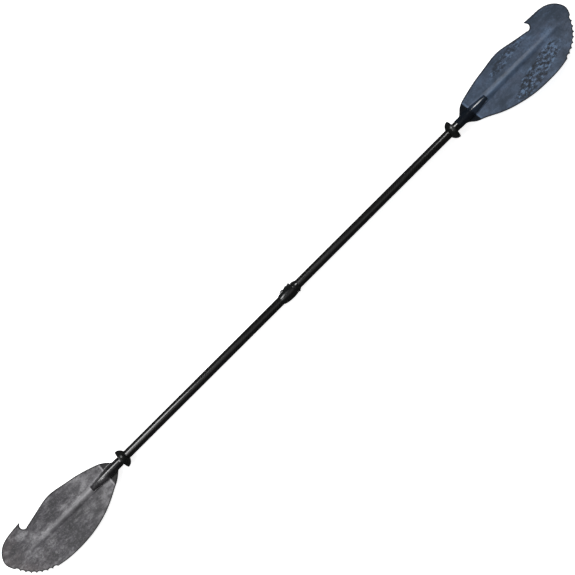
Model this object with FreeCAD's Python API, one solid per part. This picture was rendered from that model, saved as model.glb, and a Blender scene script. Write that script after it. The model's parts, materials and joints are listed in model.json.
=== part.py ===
import FreeCAD, Part
import math
import os
from FreeCAD import Vector

# Two-piece kayak fishing paddle with a lever-lock centre joint.
# Frame: +X along the shaft, +Y towards the hooked edges of the blades, +Z out of the
# power faces. The origin is on the shaft axis at the middle of the paddle.
# The left half reaches -X, and the right half +X.

# ---- driving dimensions, millimetres ----
OVERALL_LENGTH = 2400.0
SHAFT_R = 14.25
SHAFT_WALL = 1.0
RUNNING_GAP = 0.08          # radial play of the sliding and turning fits
FACE_GAP = 0.3              # space between faces that pass each other

# blades, measured from the middle of the paddle
TIP_S = OVERALL_LENGTH / 2.0
BLADE_THICKNESS = 3.8
SPOON_RISE = 17.0           # how far the tip curls towards the power face
CUP_RISE = 5.0              # how far the edges curl towards the power face
NOTCH_R = 12.0
TOOTH_COUNT = 8
TOOTH_DEPTH = 4.0
TOOTH_ROW_BULGE = 17.0
SPINE_END_S = 1158.0
SPINE_HALF_WIDTH = 11.4
SPINE_TIP_HALF_WIDTH = 5.0
SPINE_HEIGHT = 4.6
SPINE_TIP_HEIGHT = 0.3
SPINE_LAP = 12.0            # how far the spine runs into the socket's end

# blade socket that takes the shaft tube
SOCKET_MOUTH_R = 14.95
SOCKET_R = 15.6
SOCKET_END_R = 10.0
TUBE_LAP = 6.0              # how far the tube runs past the start of the socket's taper
BUNG_LENGTH = 30.0

# The two blades are a pair, but the left one starts further out and its hook is fuller.
# Each outline is given as (s, y), s outwards from the middle and y towards the hook.
BLADES = {
    "right": {
        "mouth_s": 718.0, "root_s": 738.0, "taper_s": 778.0, "end_s": 838.0,
        "hook_side": [(746, 21.5), (756, 31), (768, 38.5), (784, 44.2), (804, 49.3), (844, 58.3),
                      (900, 66.8), (954, 72.8), (1006, 64.6)],
        "notch": (1071.0, 64.3), "barb": (1074.5, 79.4),
        "tip": [(1110, 77.2), (1145, 74.3), (1172, 63.4), (1192, 43.5), (1200, 21.0)],
        "first_tooth": (1192.5, -4.0), "last_tooth": (1094.0, -92.5),
        "long_side": [(1060, -98.6), (1009, -101.0), (955, -98.4), (899, -87.6), (839, -67.2),
                      (789, -42.6), (764, -31.0), (750, -19.5)],
    },
    "left": {
        "mouth_s": 736.0, "root_s": 756.0, "taper_s": 794.0, "end_s": 855.0,
        "hook_side": [(764, 22.5), (774, 31.2), (786, 38.8), (801, 45.2), (821, 52.0), (861, 63.6),
                      (911, 73.3), (962, 81.2), (1011, 73.6)],
        "notch": (1079.0, 70.0), "barb": (1082.5, 84.8),
        "tip": [(1115, 82.0), (1147, 76.8), (1172, 66.0), (1191, 47.0), (1200, 22.0)],
        "first_tooth": (1190.0, -7.0), "last_tooth": (1090.0, -92.5),
        "long_side": [(1060, -98.0), (1009, -101.3), (960, -98.9), (905, -89.0), (845, -67.6),
                      (800, -44.5), (781, -34.2), (768, -24.4)],
    },
}

# drip rings: where each rim is parked along the shaft
LEFT_RING_S = 727.5
RIGHT_RING_S = 700.5
RING_R = 31.4
RING_DEPTH = 20.0
RING_WALL = 2.2
RING_HUB_R = 17.2
RING_HUB_LENGTH = 12.5

# centre joint, measured along the shaft from the joint's own middle
JOINT_X = -6.0              # where that middle lies, seen from the middle of the paddle
COLLAR_START_X = -35.0
COLLAR_END_R = 15.2
COLLAR_SHOULDER_X = -21.0
COLLAR_SHOULDER_R = 19.3
COLLAR_R = 21.0
COLLAR_FACE_X = 20.0
COLLAR_FACE_R = 19.2
SPIGOT_END_X = 27.0
SPIGOT_R = 15.6
SPIGOT_GROOVE_R = 15.0
LEFT_TUBE_END_X = -8.0
INDEX_END_X = 36.0
INDEX_END_R = 15.0
LIP_START_X = 22.0
LIP_WIDTH = 2.0
POINTER_X = 27.0
RIGHT_TUBE_START_X = INDEX_END_X + FACE_GAP

# telescoping inner tube of the joint
FERRULE_R = SHAFT_R - SHAFT_WALL - RUNNING_GAP
FERRULE_WALL = 1.8
FERRULE_IN_X = -160.0
FERRULE_OUT_X = 118.0
SHAFT_BUNG_S = 220.0
KEYWAY_WIDTH = 3.2
KEYWAY_DEPTH = 0.7
FERRULE_BORE_R = FERRULE_R + RUNNING_GAP
O_RING_X = 30.0
O_RING_SECTION_R = 1.0

# cam lever and clamp shoe, on the +Y side of the collar
PIVOT_X = 13.5
PIVOT_Y = 21.3
PIN_R = 1.5
CAM_R = 3.6
CAM_OFFSET = 1.0
CAM_LEAD_DEG = 30.0
CAM_HALF_WIDTH = 5.5
HUB_R = 3.2
HUB_HALF_WIDTH = 7.4
CHEEK_R = 4.6
CHEEK_INNER_Z = 7.7
CHEEK_OUTER_Z = 11.4
POCKET_FLOOR_Y = 17.4
POCKET_HALF_WIDTH = 10.3
POCKET_START_X = -30.0
POCKET_END_X = COLLAR_FACE_X + 2.0
LEVER_TIP_X = -25.5
LEVER_HALF_WIDTH = 9.9
LEVER_WAIST_X = PIVOT_X - 5.6
WINDOW_HALF_X = 5.0
WINDOW_HALF_Z = 6.0
SHOE_GAP = 0.2
PAD_THICKNESS = 1.2
PLATE_THICKNESS = 0.8

X_AXIS = Vector(1, 0, 0)
Y_AXIS = Vector(0, 1, 0)
Z_AXIS = Vector(0, 0, 1)
ORIGIN = Vector(0, 0, 0)


def save(shape, node):
    """Write one node's solid as a STEP file."""
    shape.exportStep("parts/" + node + ".step")


def mirrored(shape):
    """The same piece for the left half of the paddle."""
    return shape.mirror(ORIGIN, X_AXIS)


def in_joint(shape):
    """A piece of the centre joint, moved to where the joint lies on the shaft."""
    return shape.translated(Vector(JOINT_X, 0, 0))


def tube(start_x, end_x, outer_r, inner_r):
    """A plain tube along the shaft axis."""
    length = end_x - start_x
    outside = Part.makeCylinder(outer_r, length, Vector(start_x, 0, 0), X_AXIS)
    inside = Part.makeCylinder(inner_r, length, Vector(start_x, 0, 0), X_AXIS)
    return outside.cut(inside)


def rod(start_x, end_x, radius):
    """A solid bar along the shaft axis."""
    return Part.makeCylinder(radius, end_x - start_x, Vector(start_x, 0, 0), X_AXIS)


def box(low, high):
    """A block between two corners."""
    size = [high[i] - low[i] for i in range(3)]
    return Part.makeBox(size[0], size[1], size[2], Vector(*low))


def turned(edges):
    """A solid turned about the shaft axis from a closed profile of edges."""
    face = Part.Face(Part.Wire(Part.__sortEdges__(edges)))
    return face.revolve(ORIGIN, X_AXIS, 360)


def closed_lines(points):
    """Straight edges that close a loop through points given as (x, y)."""
    corners = [Vector(x, y, 0) for x, y in points]
    pairs = zip(corners, corners[1:] + corners[:1])
    return [Part.makeLine(a, b) for a, b in pairs]


# ---- blades ----

def blade_height(plan, s, y):
    """Height of the blade's middle surface: a spoon along the blade, cupped across it."""
    along = max(0.0, (s - plan["root_s"]) / (TIP_S - plan["root_s"]))
    return SPOON_RISE * along ** 2 + CUP_RISE * (y / 90.0) ** 2 * math.sqrt(along)


def spline(points):
    """A smooth edge through points given as (s, y)."""
    curve = Part.BSplineCurve()
    curve.interpolate([Vector(s, y, 0) for s, y in points])
    return curve.toShape()


def toothed_edge(first, last, bulge):
    """Scallops between sharp tooth tips that stand on a shallow arc."""
    middle = (first + last) * 0.5
    outward = (last - first).cross(Z_AXIS).normalize()
    arc = Part.Arc(first, middle - outward * bulge, last).toShape()
    tips = arc.discretize(Number=TOOTH_COUNT + 1)
    edges = []
    for start, end in zip(tips[:-1], tips[1:]):
        inward = (end - start).cross(Z_AXIS).normalize()
        root = (start + end) * 0.5 + inward * TOOTH_DEPTH
        edges.append(Part.Arc(start, root, end).toShape())
    return edges


def blade_outline(plan):
    """Edges of one blade's outline in the plane of the shaft, as on the right half."""
    notch_s, notch_y = plan["notch"]
    notch_start = Vector(notch_s - NOTCH_R * 0.5, notch_y - NOTCH_R * 0.866, 0)
    notch_low = Vector(notch_s + NOTCH_R * 0.5, notch_y - NOTCH_R * 0.866, 0)
    notch_end = Vector(notch_s + NOTCH_R * 0.94, notch_y + NOTCH_R * 0.34, 0)
    barb = Vector(*plan["barb"], 0)
    root_s = plan["root_s"]
    hook_side = spline([(root_s, SHAFT_R)] + plan["hook_side"] + [(notch_start.x, notch_start.y)])
    notch = Part.Arc(notch_start, notch_low, notch_end).toShape()
    barb_edge = Part.makeLine(notch_end, barb)
    tip = spline([plan["barb"]] + plan["tip"] + [plan["first_tooth"]])
    teeth = toothed_edge(Vector(*plan["first_tooth"], 0), Vector(*plan["last_tooth"], 0),
                         TOOTH_ROW_BULGE)
    long_side = spline([plan["last_tooth"]] + plan["long_side"] + [(root_s, -SHAFT_R)])
    root = Part.makeLine(Vector(root_s, -SHAFT_R, 0), Vector(root_s, SHAFT_R, 0))
    return [hook_side, notch, barb_edge, tip] + teeth + [long_side, root]


def curved_face(plan, offset):
    """The blade's spooned surface, raised or lowered by an offset."""
    s_steps = 12
    y_steps = 8
    start_s = plan["root_s"] - 6.0
    grid = []
    for i in range(s_steps + 1):
        s = start_s + (TIP_S + 6.0 - start_s) * i / s_steps
        row = []
        for j in range(y_steps + 1):
            y = -108.0 + 200.0 * j / y_steps
            row.append(Vector(s, y, blade_height(plan, s, y) + offset))
        grid.append(row)
    surface = Part.BSplineSurface()
    surface.interpolate(grid)
    return surface


def side_face(lower, upper):
    """The wall between matching edges of the lower and the upper surface."""
    ends = []
    for parameter in (0, -1):
        a = lower.Vertexes[parameter].Point
        b = upper.Vertexes[parameter].Point
        ends.append(Part.makeLine(a, b))
    return Part.Face(Part.Wire(Part.__sortEdges__([lower, upper] + ends)))


def spooned_slab(plan):
    """A thick sheet with the blade's curve, before it is cut to the outline."""
    lower = curved_face(plan, -BLADE_THICKNESS / 2.0)
    upper = curved_face(plan, BLADE_THICKNESS / 2.0)
    walls = []
    u0, u1, v0, v1 = lower.bounds()
    for u in (u0, u1):
        walls.append(side_face(lower.uIso(u).toShape(), upper.uIso(u).toShape()))
    for v in (v0, v1):
        walls.append(side_face(lower.vIso(v).toShape(), upper.vIso(v).toShape()))
    shell = Part.makeShell([lower.toShape(), upper.toShape()] + walls)
    shell.sewShape()
    return Part.makeSolid(shell)


def spine(plan):
    """The ridge that runs from the end of the socket towards the tip of the blade."""
    sections = []
    stations = 5
    start_s = plan["end_s"] - SPINE_LAP
    for i in range(stations):
        share = i / (stations - 1)
        s = start_s + (SPINE_END_S - start_s) * share
        half_width = SPINE_HALF_WIDTH + (SPINE_TIP_HALF_WIDTH - SPINE_HALF_WIDTH) * share
        height = SPINE_HEIGHT + (SPINE_TIP_HEIGHT - SPINE_HEIGHT) * share
        ground = blade_height(plan, s, 0)
        crown = ground + BLADE_THICKNESS / 2.0 + height
        left = Vector(s, half_width, ground)
        right = Vector(s, -half_width, ground)
        bow = Part.Arc(left, Vector(s, 0, crown), right).toShape()
        sections.append(Part.Wire([bow, Part.makeLine(right, left)]))
    return Part.makeLoft(sections, True)


def socket_body(plan):
    """The round socket that sinks into the blade and ends square."""
    return turned(closed_lines([
        (plan["mouth_s"], 0),
        (plan["mouth_s"], SOCKET_MOUTH_R),
        (plan["root_s"] + 10.0, SOCKET_R),
        (plan["taper_s"], SOCKET_R),
        (plan["end_s"], SOCKET_END_R),
        (plan["end_s"], 0),
    ]))


def tube_end_s(plan):
    """How far out the shaft tube reaches inside the socket."""
    return plan["taper_s"] + TUBE_LAP


def blade(plan):
    """One blade with its socket and its spine, one moulding, as on the right half."""
    outline = Part.Face(Part.Wire(Part.__sortEdges__(blade_outline(plan))))
    outline.translate(Vector(0, 0, -60))
    plate = spooned_slab(plan).common(outline.extrude(Vector(0, 0, 120)))
    body = plate.fuse([spine(plan), socket_body(plan)])
    bore = rod(plan["mouth_s"] - 5.0, tube_end_s(plan), SHAFT_R)
    return body.cut(bore).Solids[0]


def bung(outer_end_s, radius):
    """A foam bung that seals a tube, with a chamfered inner end."""
    inner = outer_end_s - BUNG_LENGTH
    return turned(closed_lines([
        (inner, 0),
        (inner, radius - 2.0),
        (inner + 2.0, radius),
        (outer_end_s, radius),
        (outer_end_s, 0),
    ]))


def drip_ring(rim):
    """A soft cup on the right half: a gripping hub and a bell that opens to the blade."""
    start = rim - RING_DEPTH
    bore = SHAFT_R + RUNNING_GAP
    outer = [
        Vector(start, RING_HUB_R, 0),
        Vector(start + 2.2, RING_R - 10.6, 0),
        Vector(start + 5.2, RING_R - 6.8, 0),
        Vector(start + 10.0, RING_R - 2.9, 0),
        Vector(start + 15.0, RING_R - 0.6, 0),
        Vector(rim, RING_R, 0),
    ]
    inner = [
        Vector(rim, RING_R - RING_WALL * 0.7, 0),
        Vector(start + 15.0, RING_R - 0.6 - RING_WALL, 0),
        Vector(start + 10.0, RING_R - 3.4 - RING_WALL, 0),
        Vector(start + 5.0, RING_HUB_R + 2.6, 0),
    ]
    outer_curve = Part.BSplineCurve()
    outer_curve.interpolate(outer)
    inner_curve = Part.BSplineCurve()
    inner_curve.interpolate(inner)
    hub_end = start + RING_HUB_LENGTH
    rest = [
        inner[-1],
        Vector(start + 4.0, RING_HUB_R, 0),
        Vector(hub_end, RING_HUB_R - 0.4, 0),
        Vector(hub_end, bore, 0),
        Vector(start, bore, 0),
        outer[0],
    ]
    edges = [outer_curve.toShape(), Part.makeLine(outer[-1], inner[0]), inner_curve.toShape()]
    edges += [Part.makeLine(a, b) for a, b in zip(rest[:-1], rest[1:])]
    return turned(edges)


# ---- centre joint ----

def pin_block(radius, half_width, x=PIVOT_X, y=PIVOT_Y):
    """A cylinder across the lever, along Z."""
    return Part.makeCylinder(radius, 2 * half_width, Vector(x, y, -half_width), Z_AXIS)


def window():
    """The opening in the collar that the shoe slides in."""
    return box((PIVOT_X - WINDOW_HALF_X, 9.0, -WINDOW_HALF_Z),
               (PIVOT_X + WINDOW_HALF_X, 30.0, WINDOW_HALF_Z))


def clamp_collar():
    """The moulded barrel that is bonded over the end of the left tube."""
    start = Vector(COLLAR_START_X, COLLAR_END_R, 0)
    shoulder = Vector(COLLAR_SHOULDER_X, COLLAR_SHOULDER_R, 0)
    face = Vector(COLLAR_FACE_X, COLLAR_FACE_R, 0)
    belly = Part.Arc(shoulder, Vector(0, COLLAR_R, 0), face).toShape()
    corners = [
        face,
        Vector(COLLAR_FACE_X, SPIGOT_R, 0),
        Vector(LIP_START_X - FACE_GAP, SPIGOT_R, 0),
        Vector(LIP_START_X - FACE_GAP, SPIGOT_GROOVE_R, 0),
        Vector(LIP_START_X + LIP_WIDTH + FACE_GAP, SPIGOT_GROOVE_R, 0),
        Vector(LIP_START_X + LIP_WIDTH + FACE_GAP, SPIGOT_R, 0),
        Vector(SPIGOT_END_X, SPIGOT_R, 0),
        Vector(SPIGOT_END_X, FERRULE_BORE_R, 0),
        Vector(LEFT_TUBE_END_X, FERRULE_BORE_R, 0),
        Vector(LEFT_TUBE_END_X, SHAFT_R, 0),
        Vector(COLLAR_START_X, SHAFT_R, 0),
        start,
        shoulder,
    ]
    edges = [belly] + [Part.makeLine(a, b) for a, b in zip(corners[:-1], corners[1:])]
    barrel = turned(edges)
    pocket = box((POCKET_START_X, POCKET_FLOOR_Y, -POCKET_HALF_WIDTH),
                 (POCKET_END_X, 30.0, POCKET_HALF_WIDTH))
    barrel = barrel.cut(pocket)
    for side in (-1, 1):
        low_z = min(side * CHEEK_INNER_Z, side * CHEEK_OUTER_Z)
        high_z = max(side * CHEEK_INNER_Z, side * CHEEK_OUTER_Z)
        round_top = Part.makeCylinder(CHEEK_R, high_z - low_z,
                                      Vector(PIVOT_X, PIVOT_Y - 1.4, low_z), Z_AXIS)
        post = box((PIVOT_X - CHEEK_R, 14.0, low_z),
                   (PIVOT_X + CHEEK_R, PIVOT_Y - 1.4, high_z))
        barrel = barrel.fuse([round_top, post])
    barrel = barrel.cut(window())
    barrel = barrel.cut(pin_block(PIN_R, CHEEK_OUTER_Z + 2.0))
    return barrel.removeSplitter().Solids[0]


def cam_lever():
    """The lever with its cam: finger scallops on top, pivot at the +X end."""
    profile = [
        spline([(LEVER_TIP_X, 18.2), (-20.5, 20.9), (-14.0, 23.6), (-7.2, 20.9), (1.2, 24.0),
                (9.0, 22.4), (PIVOT_X - 1.0, PIVOT_Y + HUB_R)]),
        Part.makeLine(Vector(PIVOT_X - 1.0, PIVOT_Y + HUB_R, 0), Vector(PIVOT_X, 17.9, 0)),
        Part.makeLine(Vector(PIVOT_X, 17.9, 0), Vector(LEVER_TIP_X + 1.0, 17.9, 0)),
        Part.makeLine(Vector(LEVER_TIP_X + 1.0, 17.9, 0), Vector(LEVER_TIP_X, 18.2, 0)),
    ]
    face = Part.Face(Part.Wire(Part.__sortEdges__(profile)))
    face.translate(Vector(0, 0, -LEVER_HALF_WIDTH))
    arm = face.extrude(Vector(0, 0, 2 * LEVER_HALF_WIDTH))
    crown = Part.makeCylinder(24.2, 60, Vector(-32, 0, 0), X_AXIS)
    arm = arm.common(crown)
    for side in (-1, 1):
        low_z = min(side * HUB_HALF_WIDTH, side * 20.0)
        high_z = max(side * HUB_HALF_WIDTH, side * 20.0)
        arm = arm.cut(box((LEVER_WAIST_X, 10.0, low_z), (PIVOT_X + 10.0, 30.0, high_z)))
    lean = math.radians(-90.0 - CAM_LEAD_DEG)
    cam_x = PIVOT_X + CAM_OFFSET * math.cos(lean)
    cam_y = PIVOT_Y + CAM_OFFSET * math.sin(lean)
    lever = arm.fuse([pin_block(HUB_R, HUB_HALF_WIDTH),
                      pin_block(CAM_R, CAM_HALF_WIDTH, cam_x, cam_y)])
    return lever.cut(pin_block(PIN_R + RUNNING_GAP, 20.0)).Solids[0]


def shoe_stack():
    """The pad, the shoe and its wear plate, which slide together in the window."""
    half_x = WINDOW_HALF_X - SHOE_GAP
    half_z = WINDOW_HALF_Z - SHOE_GAP
    lean = math.radians(CAM_LEAD_DEG)
    top = PIVOT_Y - CAM_OFFSET * math.cos(lean) - CAM_R - 0.05
    column = box((PIVOT_X - half_x, 8.0, -half_z), (PIVOT_X + half_x, top, half_z))
    pad_r = FERRULE_BORE_R + PAD_THICKNESS
    around_tube = rod(-50, 80, FERRULE_BORE_R)
    around_pad = rod(-50, 80, pad_r)
    plate_low = top - PLATE_THICKNESS
    plate = box((PIVOT_X - half_x, plate_low, -half_z), (PIVOT_X + half_x, top, half_z))
    pad = column.common(around_pad).cut(around_tube)
    shoe = column.cut(around_pad).cut(plate)
    return pad, shoe, plate


def feather_index_ring():
    """The turning nose ring: it snaps on the collar and is keyed to the inner tube."""
    start_x = COLLAR_FACE_X + FACE_GAP
    first = Vector(start_x, COLLAR_FACE_R, 0)
    last = Vector(INDEX_END_X, INDEX_END_R, 0)
    nose = Part.Arc(first, Vector(29.0, 17.6, 0), last).toShape()
    spigot_bore = SPIGOT_R + FACE_GAP
    groove_half = O_RING_SECTION_R + 0.1
    groove_r = FERRULE_BORE_R + 2 * O_RING_SECTION_R + 0.2
    corners = [
        last,
        Vector(INDEX_END_X, FERRULE_BORE_R, 0),
        Vector(O_RING_X + groove_half, FERRULE_BORE_R, 0),
        Vector(O_RING_X + groove_half, groove_r, 0),
        Vector(O_RING_X - groove_half, groove_r, 0),
        Vector(O_RING_X - groove_half, FERRULE_BORE_R, 0),
        Vector(SPIGOT_END_X + FACE_GAP, FERRULE_BORE_R, 0),
        Vector(SPIGOT_END_X + FACE_GAP, spigot_bore, 0),
        Vector(LIP_START_X + LIP_WIDTH, spigot_bore, 0),
        Vector(LIP_START_X + LIP_WIDTH, SPIGOT_GROOVE_R + FACE_GAP, 0),
        Vector(LIP_START_X, SPIGOT_GROOVE_R + FACE_GAP, 0),
        Vector(LIP_START_X, spigot_bore, 0),
        Vector(start_x, spigot_bore, 0),
        first,
    ]
    edges = [nose] + [Part.makeLine(a, b) for a, b in zip(corners[:-1], corners[1:])]
    ring = turned(edges)
    pointer = Part.makeSphere(3.2, Vector(POINTER_X, -17.2, 0))
    pointer = pointer.cut(rod(start_x - 2, INDEX_END_X + 2, spigot_bore + 0.6))
    key_half = KEYWAY_WIDTH / 2.0 - 0.2
    key = box((33.0, FERRULE_R - KEYWAY_DEPTH + 0.2, -key_half),
              (INDEX_END_X, FERRULE_BORE_R + 0.8, key_half))
    return ring.fuse([pointer, key]).Solids[0]


def o_ring():
    """The wiper ring in the nose ring's groove."""
    centre_r = FERRULE_BORE_R + 0.05 + O_RING_SECTION_R
    return Part.makeTorus(centre_r, O_RING_SECTION_R, Vector(O_RING_X, 0, 0), X_AXIS)


def ferrule_tube():
    """The inner tube, bonded in the right half and sliding in the left, with a keyway."""
    body = tube(FERRULE_IN_X, FERRULE_OUT_X, FERRULE_R, FERRULE_R - FERRULE_WALL)
    keyway = box((FERRULE_IN_X - 1, FERRULE_R - KEYWAY_DEPTH, -KEYWAY_WIDTH / 2.0),
                 (RIGHT_TUBE_START_X, FERRULE_R + 2.0, KEYWAY_WIDTH / 2.0))
    return body.cut(keyway)


def ferrule_end_plug():
    """The plug that seals the inner end of the telescoping tube."""
    bore_r = FERRULE_R - FERRULE_WALL
    return turned(closed_lines([
        (FERRULE_IN_X - 3.0, 0),
        (FERRULE_IN_X - 3.0, FERRULE_R - 1.5),
        (FERRULE_IN_X - 1.5, FERRULE_R - 0.8),
        (FERRULE_IN_X, FERRULE_R - 0.8),
        (FERRULE_IN_X, bore_r),
        (FERRULE_IN_X + 14.0, bore_r),
        (FERRULE_IN_X + 15.5, bore_r - 1.5),
        (FERRULE_IN_X + 15.5, 0),
    ]))


os.makedirs("parts", exist_ok=True)

right = BLADES["right"]
left = BLADES["left"]
save(blade(right), "right_blade")
save(mirrored(blade(left)), "left_blade")

bore_r = SHAFT_R - SHAFT_WALL
right_start = JOINT_X + RIGHT_TUBE_START_X
left_end = JOINT_X + LEFT_TUBE_END_X
save(tube(right_start, tube_end_s(right), SHAFT_R, bore_r), "right_shaft_tube")
save(tube(-tube_end_s(left), left_end, SHAFT_R, bore_r), "left_shaft_tube")

save(bung(tube_end_s(right), bore_r), "right_blade_bung")
save(mirrored(bung(tube_end_s(left), bore_r)), "left_blade_bung")
save(in_joint(mirrored(bung(SHAFT_BUNG_S, bore_r))), "left_shaft_bung")

save(drip_ring(RIGHT_RING_S), "right_drip_ring")
save(mirrored(drip_ring(LEFT_RING_S)), "left_drip_ring")

pad, shoe, plate = shoe_stack()
joint_pieces = {
    "clamp_collar": clamp_collar(),
    "cam_lever": cam_lever(),
    "lever_pivot_pin": pin_block(PIN_R, CHEEK_OUTER_Z),
    "shoe_friction_pad": pad,
    "clamp_shoe": shoe,
    "cam_wear_plate": plate,
    "feather_index_ring": feather_index_ring(),
    "wiper_o_ring": o_ring(),
    "ferrule_tube": ferrule_tube(),
    "ferrule_end_plug": ferrule_end_plug(),
}
for node, shape in joint_pieces.items():
    save(in_joint(shape), node)
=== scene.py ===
import json
import math

import bpy
import numpy as np
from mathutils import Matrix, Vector


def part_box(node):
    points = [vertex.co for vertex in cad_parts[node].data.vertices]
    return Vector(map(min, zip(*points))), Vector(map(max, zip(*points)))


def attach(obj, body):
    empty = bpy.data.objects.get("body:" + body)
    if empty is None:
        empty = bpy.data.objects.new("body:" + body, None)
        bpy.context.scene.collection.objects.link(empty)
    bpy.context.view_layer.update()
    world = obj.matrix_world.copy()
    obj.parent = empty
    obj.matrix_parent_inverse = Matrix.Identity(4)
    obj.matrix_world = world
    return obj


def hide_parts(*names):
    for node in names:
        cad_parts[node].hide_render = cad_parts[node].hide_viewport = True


# A two-piece kayak fishing paddle: moulded blades, carbon shaft, lever-lock centre joint
# and soft drip rings. Metres, with +X along the shaft and +Z out of the power faces.

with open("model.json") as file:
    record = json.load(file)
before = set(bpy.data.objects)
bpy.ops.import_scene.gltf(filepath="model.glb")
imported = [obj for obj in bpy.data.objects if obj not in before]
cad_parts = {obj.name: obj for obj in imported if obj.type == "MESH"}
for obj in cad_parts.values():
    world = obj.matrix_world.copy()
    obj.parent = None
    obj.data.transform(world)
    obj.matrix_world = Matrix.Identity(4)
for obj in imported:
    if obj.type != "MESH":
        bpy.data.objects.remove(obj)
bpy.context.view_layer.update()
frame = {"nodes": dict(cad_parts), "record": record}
nodes = frame["nodes"]

MM = 0.001
FULL_TURN = 2 * math.pi
SHAFT_AXIS = (1, 0, 0)

# ---- sizes, from the frame where it has them ----
SHAFT_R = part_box("left_shaft_tube")[1].z
SHAFT_WALL = 1.0 * MM
RUNNING_GAP = 0.08 * MM

BLADE_THICKNESS = 3.8 * MM
SPOON_RISE = 17.0 * MM
CUP_RISE = 5.0 * MM
CUP_HALF_WIDTH = 0.090
TIP_S = 1200.0 * MM
NOTCH_R = 12.0 * MM
BARB_ROUND = 1.6 * MM
TOOTH_COUNT = 8
TOOTH_DEPTH = 5.0 * MM
TOOTH_ROW_BULGE = 17.0 * MM
SPINE_END_S = 1158.0 * MM
SPINE_HALF_WIDTH = 14.0 * MM
SPINE_TIP_HALF_WIDTH = 9.0 * MM
SPINE_HEIGHT = 6.0 * MM
SPINE_CROWN = 2.5 * MM
SPINE_LAP = 12.0 * MM
SPINE_FADE = 0.8
SPINE_TOE = 0.12
BACK_SPINE_SHARE = 0.5
SOCKET_MOUTH_R = 14.95 * MM
SOCKET_R = 15.6 * MM
SOCKET_END_R = 10.0 * MM
TUBE_LAP = 6.0 * MM
FILLET_R = 3.4 * MM
WEB_SINK = 1.5 * MM
WEB_RAMP = 4.5 * MM
WEB_THIN_SHARE, WEB_FACE_SHARE = 0.6, 0.8
THINNEST_HALF = 0.7 * MM
FOLD_HIGHLIGHT_STRIP = 5.0 * MM
RIM_GAP_LIMIT = 10.0 * MM
FLAT_THICKNESS = 1.0 * MM
RIM_INSETS = (0.5 * MM, 0.9 * MM)
RIM_HEIGHT_SHARE, SHOULDER_HEIGHT_SHARE = 0.25, 0.72
MOULD_LAP = 0.45 * MM

RING_DEPTH = 20.0 * MM
RING_HUB_LENGTH = 12.5 * MM
RIM_BEAD_R = 1.5 * MM
LIP_DEPTH = 0.35 * MM

ROUND_STEPS = 128
DOUBLED, SLIVER = 2e-6, 1e-6

# The net cut into a blade's flat, in millimetres: steps along it and lanes across it.
FINE_STEP, COARSE_STEP = 3.0, 4.5
FINE_PAST_END, NET_END_S = 8.0, 1198.0
INNER_LANES = [0.0, 2.5, 5.0, 7.0, 8.5, 9.8, 11.0, 12.2, 13.4, 14.6, 15.6, 16.4, 17.4, 18.6, 20.0]
OUTER_LANES = [20.0 + 4.0 * i for i in range(1, 21)]

# Outlines of a drip ring's bell in millimetres: (along the shaft from its narrow end, radius).
BELL_OUTSIDE = [(0.0, 17.0), (0.7, 18.6), (2.2, 20.8), (5.2, 24.6), (10.0, 28.5), (15.0, 30.6),
                (18.2, 31.2)]
BELL_INSIDE = [(15.0, 28.5), (10.0, 25.8), (6.6, 22.4), (5.0, 19.9), (4.4, 18.0)]
SEALING_LIPS = (8.4, 4.2)

# Each blade's plan as (s, y) in millimetres: s outwards from the middle, y to the hook.
BLADES = {
    "right": {
        "side": 1, "body": "right_half", "slot": "blade_slate",
        "mouth_s": 718.0, "root_s": 738.0, "taper_s": 778.0, "end_s": 838.0,
        "web_s": 779.5, "web_lean": 0.145, "socket_polish_and_shade": 0.74,
        "hook_side": [(746, 21.5), (756, 31), (768, 38.5), (784, 44.2), (804, 49.3), (844, 58.3),
                      (900, 66.8), (954, 72.8), (1006, 64.6)],
        "notch": (1071.0, 64.3), "barb": (1074.5, 79.4),
        "tip": [(1110, 77.2), (1145, 74.3), (1172, 63.4), (1192, 43.5), (1200, 21.0)],
        "first_tooth": (1192.5, -4.0), "last_tooth": (1094.0, -92.5),
        "long_side": [(1060, -98.6), (1009, -101.0), (955, -98.4), (899, -87.6), (839, -67.2),
                      (789, -42.6), (764, -31.0), (750, -19.5)],
    },
    "left": {
        "side": -1, "body": "left_half", "slot": "blade_grey",
        "mouth_s": 736.0, "root_s": 756.0, "taper_s": 794.0, "end_s": 855.0,
        "web_s": 793.0, "web_lean": 0.087, "socket_polish_and_shade": 0.78,
        "hook_side": [(764, 22.5), (774, 31.2), (786, 38.8), (801, 45.2), (821, 52.0), (861, 63.6),
                      (911, 73.3), (962, 81.2), (1011, 73.6)],
        "notch": (1079.0, 70.0), "barb": (1082.5, 84.8),
        "tip": [(1115, 82.0), (1147, 76.8), (1172, 66.0), (1191, 47.0), (1200, 22.0)],
        "first_tooth": (1190.0, -7.0), "last_tooth": (1090.0, -92.5),
        "long_side": [(1060, -98.0), (1009, -101.3), (960, -98.9), (905, -89.0), (845, -67.6),
                      (800, -44.5), (781, -34.2), (768, -24.4)],
    },
}


# ---- bench helpers: every piece starts as a primitive and is shaped in edit mode ----

def clear_selection():
    """Nothing selected and nothing active, so the next operator touches only its own piece."""
    bpy.ops.object.select_all(action="DESELECT")
    bpy.context.view_layer.objects.active = None


def pick(piece):
    """Make one piece the only selected one."""
    clear_selection()
    piece.select_set(True)
    bpy.context.view_layer.objects.active = piece


def edit(piece):
    """Open a piece in edit mode with all of it selected."""
    pick(piece)
    bpy.ops.object.mode_set(mode="EDIT")
    bpy.ops.mesh.select_all(action="SELECT")


def close_edit():
    bpy.ops.object.mode_set(mode="OBJECT")


def settle(piece):
    """Put a piece's place into its mesh, so that its object sits at the origin."""
    pick(piece)
    bpy.ops.object.transform_apply(location=True, rotation=True, scale=True)


def name_piece(piece, name):
    piece.name = name
    piece.data.name = name
    return piece


def smooth(piece, degrees):
    """Smooth shading, with creases kept at edges sharper than an angle."""
    pick(piece)
    bpy.ops.object.shade_smooth_by_angle(angle=math.radians(degrees))


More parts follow.
